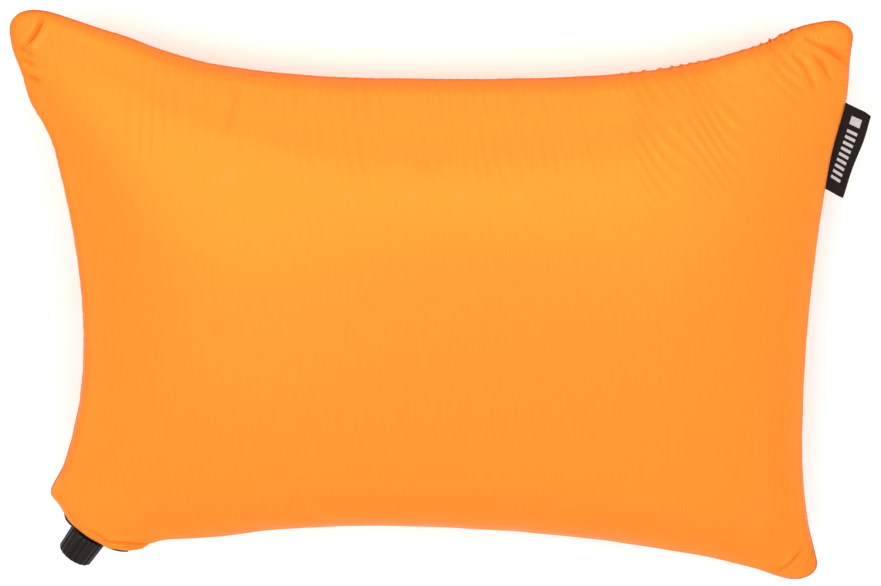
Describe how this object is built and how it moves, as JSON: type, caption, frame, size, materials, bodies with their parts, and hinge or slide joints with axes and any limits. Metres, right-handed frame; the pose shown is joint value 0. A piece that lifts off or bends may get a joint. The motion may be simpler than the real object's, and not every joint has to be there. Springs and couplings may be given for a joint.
{
  "type": "self-inflating camp pillow",
  "caption": "Self-inflating camp pillow: sewn fabric cover over a foam-filled bladder, with a twist valve in the cut corner.",
  "frame": {"origin": "middle of the pillow's box, on the surface that it lies on", "axes": "+Z out of the front panel, +X towards the side with the label, +Y towards the top edge, so the valve is in the corner at -X, -Y"},
  "size_m": [0.4654, 0.3428, 0.118],
  "materials": {
    "cover_cloth": "satin",
    "seam_thread": "matte",
    "bladder_film": "satin",
    "foam": "matte",
    "valve_plastic": "satin",
    "seal_rubber": "matte",
    "label_weave": "matte"
  },
  "bodies": {
    "pillow": {"cover_front_panel": "cover_cloth", "cover_back_panel": "cover_cloth", "cover_seam_thread": "seam_thread", "bladder_front_film": "bladder_film", "bladder_back_film": "bladder_film", "foam_core": "foam", "valve_body": "valve_plastic", "valve_stopper": "valve_plastic", "stopper_oring": "seal_rubber", "side_label": "label_weave"},
    "cap_seal": {"cap_oring": "seal_rubber"},
    "cap": {"valve_cap": "valve_plastic"}
  },
  "joints": [
    {"name": "cap_travel", "type": "slide", "parent": "pillow", "child": "cap_seal", "axis": [-0.578, -0.816, 0], "range_m": [0, 0.003]},
    {"name": "cap_twist", "type": "hinge", "parent": "cap_seal", "child": "cap", "pos_m": [-0.20155, -0.12798, 0.058], "axis": [-0.578, -0.816, 0], "range_deg": [0, 360]}
  ],
  "couplings": [
    {"joint": "cap_twist", "follows": "cap_travel", "rad_per_m": 2094.4}
  ]
}
